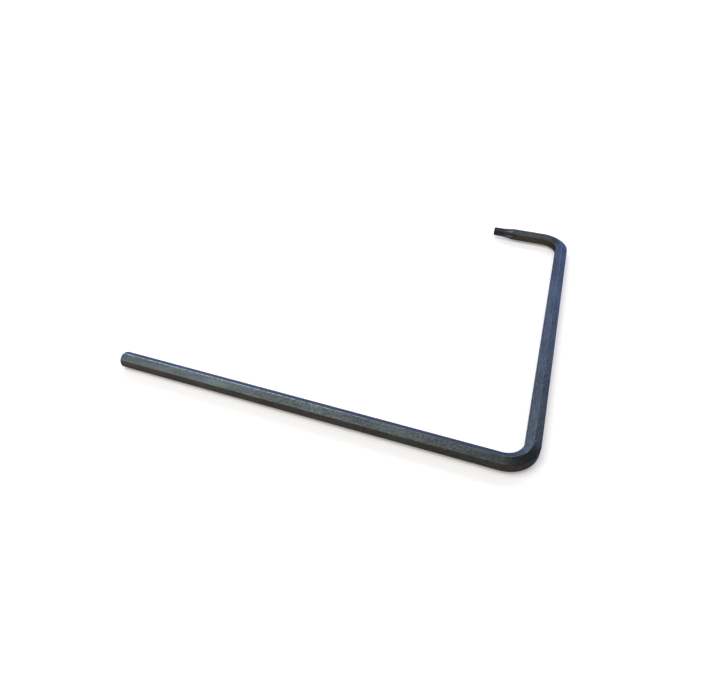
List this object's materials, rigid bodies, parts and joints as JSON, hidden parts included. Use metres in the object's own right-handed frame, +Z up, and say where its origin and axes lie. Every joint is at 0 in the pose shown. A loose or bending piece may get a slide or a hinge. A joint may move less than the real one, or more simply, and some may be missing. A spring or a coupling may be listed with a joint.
{
  "type": "star-drive key",
  "caption": "Hexagonal steel bar bent square twice into a J, with a six-lobed driving tip on the short arm and a plain hexagonal end on the long one.",
  "frame": {"origin": "middle of the bounding box in plan, at the surface that the key lies on", "axes": "+X along the long and short arms, away from their free ends, +Y along the middle arm, from the long arm to the short one, +Z up"},
  "size_m": [0.1186, 0.1098, 0.0045],
  "materials": {
    "black_steel": "black oxide, satin, worn to bare grey metal along the ridges"
  },
  "bodies": {
    "root": {"star_drive_key": "black_steel"}
  },
  "joints": []
}
